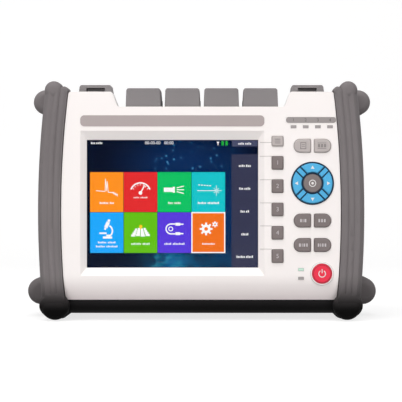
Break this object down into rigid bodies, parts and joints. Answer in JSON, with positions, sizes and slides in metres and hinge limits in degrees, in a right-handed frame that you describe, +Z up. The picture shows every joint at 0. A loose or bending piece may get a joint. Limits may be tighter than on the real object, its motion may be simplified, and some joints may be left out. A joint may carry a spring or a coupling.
{
  "type": "optical time domain reflectometer",
  "caption": "Handheld optical time domain reflectometer with barrel-sided white case, screen, keypad, flip port caps, ribbed rubber guards and a folding stand.",
  "frame": {"origin": "centre of the case in plan, on the surface that its rubber guards stand on", "axes": "+Z up, +X to the right of someone facing the screen, the screen and keys face -Y"},
  "size_m": [0.253, 0.0736, 0.1668],
  "materials": {
    "white_plastic": "fine satin",
    "grey_plastic": "satin",
    "black_rubber": "matt",
    "grey_rubber": "matt, finely pebbled",
    "screen_glass": "clear, low gloss",
    "lcd_metal": "plain",
    "sheet_steel": "plated",
    "title_film": "satin film",
    "legend_film": "satin film",
    "light_pipe": "frosted",
    "white_gloss": "satin gloss",
    "navy_plastic": "satin",
    "blue_plastic": "satin",
    "circuit_board": "solder mask",
    "switch_metal": "plain",
    "brass_post": "turned",
    "module_metal": "plain",
    "dark_plastic": "satin",
    "adapter_metal": "nickel plated",
    "socket_metal": "plated",
    "rod_steel": "ground",
    "battery_wrap": "film",
    "screw_steel": "blackened",
    "cap_plastic": "satin, finely textured",
    "dark_key": "satin silicone",
    "light_key": "satin silicone",
    "red_plastic": "satin gloss"
  },
  "bodies": {
    "case": {"front_cover": "white_plastic", "rear_housing": "grey_plastic", "housing_seal": "black_rubber", "left_bumper": "grey_rubber", "right_bumper": "grey_rubber", "screen_window": "screen_glass", "screen_gasket": "black_rubber", "lcd_module": "lcd_metal", "lcd_bracket": "sheet_steel", "title_strip": "title_film", "status_strip": "legend_film", "status_leds": "light_pipe", "power_leds": "light_pipe", "power_ring": "white_gloss", "nav_base": "navy_plastic", "nav_spokes": "blue_plastic", "keypad_board": "circuit_board", "dome_switches": "switch_metal", "board_posts": "brass_post", "main_board": "circuit_board", "optical_module": "module_metal", "port_plate": "dark_plastic", "fault_locator_port": "adapter_metal", "otdr_port": "adapter_metal", "meter_port": "adapter_metal", "usb_socket": "socket_metal", "dc_socket": "dark_plastic", "cap_hinge_pins": "rod_steel", "battery_pack": "battery_wrap", "battery_door": "grey_plastic", "case_screws": "screw_steel", "door_screws": "screw_steel", "strap_lug_left": "cap_plastic", "strap_lug_right": "cap_plastic", "stand_pins": "rod_steel"},
    "kickstand": {"kickstand": "cap_plastic"},
    "menu_key": {"menu_key": "light_key"},
    "soft_key_1": {"soft_key_1": "dark_key"},
    "soft_key_2": {"soft_key_2": "dark_key"},
    "soft_key_3": {"soft_key_3": "dark_key"},
    "soft_key_4": {"soft_key_4": "dark_key"},
    "soft_key_5": {"soft_key_5": "dark_key"},
    "pad_key_left": {"pad_key_left": "light_key"},
    "pad_key_right": {"pad_key_right": "light_key"},
    "function_key_1": {"function_key_1": "dark_key"},
    "function_key_2": {"function_key_2": "dark_key"},
    "function_key_3": {"function_key_3": "dark_key"},
    "function_key_4": {"function_key_4": "dark_key"},
    "arrow_key_up": {"arrow_key_up": "blue_plastic"},
    "arrow_key_right": {"arrow_key_right": "blue_plastic"},
    "arrow_key_down": {"arrow_key_down": "blue_plastic"},
    "arrow_key_left": {"arrow_key_left": "blue_plastic"},
    "centre_key": {"centre_key": "dark_key"},
    "power_key": {"power_key": "red_plastic"},
    "port_cap_1": {"port_cap_1": "cap_plastic"},
    "port_cap_2": {"port_cap_2": "cap_plastic"},
    "port_cap_3": {"port_cap_3": "cap_plastic"},
    "port_cap_4": {"port_cap_4": "cap_plastic"}
  },
  "joints": [
    {"name": "menu_key_press", "type": "slide", "parent": "case", "child": "menu_key", "axis": [0, 1, 0], "range_m": [0, 0.0008], "stiffness_N_per_m": 2500, "springref_m": -0.0004},
    {"name": "soft_key_1_press", "type": "slide", "parent": "case", "child": "soft_key_1", "axis": [0, 1, 0], "range_m": [0, 0.0008], "stiffness_N_per_m": 2500, "springref_m": -0.0004},
    {"name": "soft_key_2_press", "type": "slide", "parent": "case", "child": "soft_key_2", "axis": [0, 1, 0], "range_m": [0, 0.0008], "stiffness_N_per_m": 2500, "springref_m": -0.0004},
    {"name": "soft_key_3_press", "type": "slide", "parent": "case", "child": "soft_key_3", "axis": [0, 1, 0], "range_m": [0, 0.0008], "stiffness_N_per_m": 2500, "springref_m": -0.0004},
    {"name": "soft_key_4_press", "type": "slide", "parent": "case", "child": "soft_key_4", "axis": [0, 1, 0], "range_m": [0, 0.0008], "stiffness_N_per_m": 2500, "springref_m": -0.0004},
    {"name": "soft_key_5_press", "type": "slide", "parent": "case", "child": "soft_key_5", "axis": [0, 1, 0], "range_m": [0, 0.0008], "stiffness_N_per_m": 2500, "springref_m": -0.0004},
    {"name": "pad_key_left_press", "type": "slide", "parent": "case", "child": "pad_key_left", "axis": [0, 1, 0], "range_m": [0, 0.0008], "stiffness_N_per_m": 2500, "springref_m": -0.0004},
    {"name": "pad_key_right_press", "type": "slide", "parent": "case", "child": "pad_key_right", "axis": [0, 1, 0], "range_m": [0, 0.0008], "stiffness_N_per_m": 2500, "springref_m": -0.0004},
    {"name": "function_key_1_press", "type": "slide", "parent": "case", "child": "function_key_1", "axis": [0, 1, 0], "range_m": [0, 0.0008], "stiffness_N_per_m": 2500, "springref_m": -0.0004},
    {"name": "function_key_2_press", "type": "slide", "parent": "case", "child": "function_key_2", "axis": [0, 1, 0], "range_m": [0, 0.0008], "stiffness_N_per_m": 2500, "springref_m": -0.0004},
    {"name": "function_key_3_press", "type": "slide", "parent": "case", "child": "function_key_3", "axis": [0, 1, 0], "range_m": [0, 0.0008], "stiffness_N_per_m": 2500, "springref_m": -0.0004},
    {"name": "function_key_4_press", "type": "slide", "parent": "case", "child": "function_key_4", "axis": [0, 1, 0], "range_m": [0, 0.0008], "stiffness_N_per_m": 2500, "springref_m": -0.0004},
    {"name": "arrow_key_up_press", "type": "slide", "parent": "case", "child": "arrow_key_up", "axis": [0, 1, 0], "range_m": [0, 0.0008], "stiffness_N_per_m": 2500, "springref_m": -0.0004},
    {"name": "arrow_key_right_press", "type": "slide", "parent": "case", "child": "arrow_key_right", "axis": [0, 1, 0], "range_m": [0, 0.0008], "stiffness_N_per_m": 2500, "springref_m": -0.0004},
    {"name": "arrow_key_down_press", "type": "slide", "parent": "case", "child": "arrow_key_down", "axis": [0, 1, 0], "range_m": [0, 0.0008], "stiffness_N_per_m": 2500, "springref_m": -0.0004},
    {"name": "arrow_key_left_press", "type": "slide", "parent": "case", "child": "arrow_key_left", "axis": [0, 1, 0], "range_m": [0, 0.0008], "stiffness_N_per_m": 2500, "springref_m": -0.0004},
    {"name": "centre_key_press", "type": "slide", "parent": "case", "child": "centre_key", "axis": [0, 1, 0], "range_m": [0, 0.0008], "stiffness_N_per_m": 2500, "springref_m": -0.0004},
    {"name": "power_key_press", "type": "slide", "parent": "case", "child": "power_key", "axis": [0, 1, 0], "range_m": [0, 0.0008], "stiffness_N_per_m": 2500, "springref_m": -0.0004},
    {"name": "port_cap_1_hinge", "type": "hinge", "parent": "case", "child": "port_cap_1", "pos_m": [-0.04045, -0.0041, 0.1522], "axis": [-1, 0, 0], "range_deg": [0, 110]},
    {"name": "port_cap_2_hinge", "type": "hinge", "parent": "case", "child": "port_cap_2", "pos_m": [-0.01315, -0.0041, 0.1522], "axis": [-1, 0, 0], "range_deg": [0, 110]},
    {"name": "port_cap_3_hinge", "type": "hinge", "parent": "case", "child": "port_cap_3", "pos_m": [0.01415, -0.0041, 0.1522], "axis": [-1, 0, 0], "range_deg": [0, 110]},
    {"name": "port_cap_4_hinge", "type": "hinge", "parent": "case", "child": "port_cap_4", "pos_m": [0.04145, -0.0041, 0.1522], "axis": [-1, 0, 0], "range_deg": [0, 110]},
    {"name": "kickstand_hinge", "type": "hinge", "parent": "case", "child": "kickstand", "pos_m": [0, 0.0329, 0.082], "axis": [1, 0, 0], "range_deg": [0, 45]}
  ]
}
